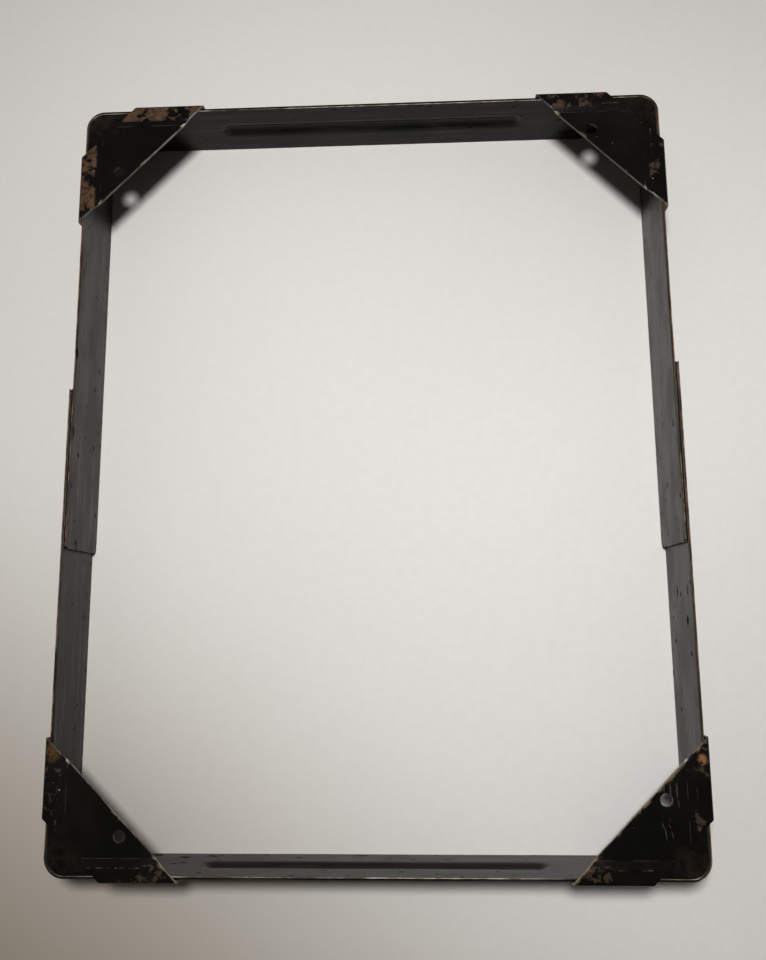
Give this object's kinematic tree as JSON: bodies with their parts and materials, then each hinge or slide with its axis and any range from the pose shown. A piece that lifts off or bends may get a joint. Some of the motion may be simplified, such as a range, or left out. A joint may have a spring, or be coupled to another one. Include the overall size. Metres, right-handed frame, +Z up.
{
  "type": "negative carrier",
  "caption": "Adjustable negative carrier: telescoping black sheet-steel frame on edge with stamped gussets hooked over its corners.",
  "frame": {"origin": "middle of the frame on the surface that it stands on, at its closed box's bottom centre", "axes": "+Z up to the gussets, +Y towards the rear half's bar along the slide, +X to the right"},
  "size_m": [0.21, 0.2654, 0.0266],
  "materials": {
    "band_paint": "semi-gloss black enamel, streaked and worn bright along its edges",
    "gusset_paint": "gloss black enamel, tab strips rubbed through to brown rust"
  },
  "bodies": {
    "front_frame": {"front_half": "band_paint", "front_left_gusset": "gusset_paint", "front_right_gusset": "gusset_paint"},
    "rear_frame": {"rear_half": "band_paint", "rear_left_gusset": "gusset_paint", "rear_right_gusset": "gusset_paint"}
  },
  "joints": [
    {"name": "frame_slide", "type": "slide", "parent": "front_frame", "child": "rear_frame", "axis": [0, 1, 0], "range_m": [-0.054, 0.04]}
  ]
}
